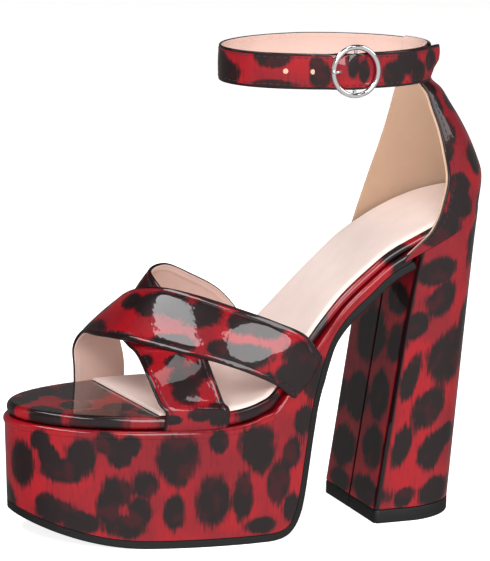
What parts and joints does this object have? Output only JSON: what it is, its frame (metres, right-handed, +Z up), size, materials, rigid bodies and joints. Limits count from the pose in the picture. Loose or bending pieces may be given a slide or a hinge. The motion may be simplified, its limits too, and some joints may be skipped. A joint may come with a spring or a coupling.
{
  "type": "platform shoe",
  "caption": "High-heeled platform sandal for a left foot, with crossed toe straps, a heel cup, a buckled ankle strap, a wrapped platform and a block heel.",
  "frame": {"origin": "on the floor, under the middle of the shoe's length and width", "axes": "+X towards the toe, +Y to the outer (lateral) side of the left foot, where the buckle is, +Z up"},
  "size_m": [0.2134, 0.0864, 0.21],
  "materials": {
    "patent_print": "high-gloss patent leather, red with soft-edged black leopard spots",
    "black_sole": "matte black moulded rubber",
    "sock_leather": "smooth cream leather, satin",
    "buckle_steel": "polished and plated"
  },
  "bodies": {
    "root": {"platform": "patent_print", "footbed": "patent_print", "heel_block": "patent_print", "vamp_straps": "patent_print", "counter": "patent_print", "ankle_strap": "patent_print", "outsole": "black_sole", "top_lift": "black_sole", "insole": "sock_leather", "buckle_ring": "buckle_steel", "buckle_prong": "buckle_steel"}
  },
  "joints": []
}
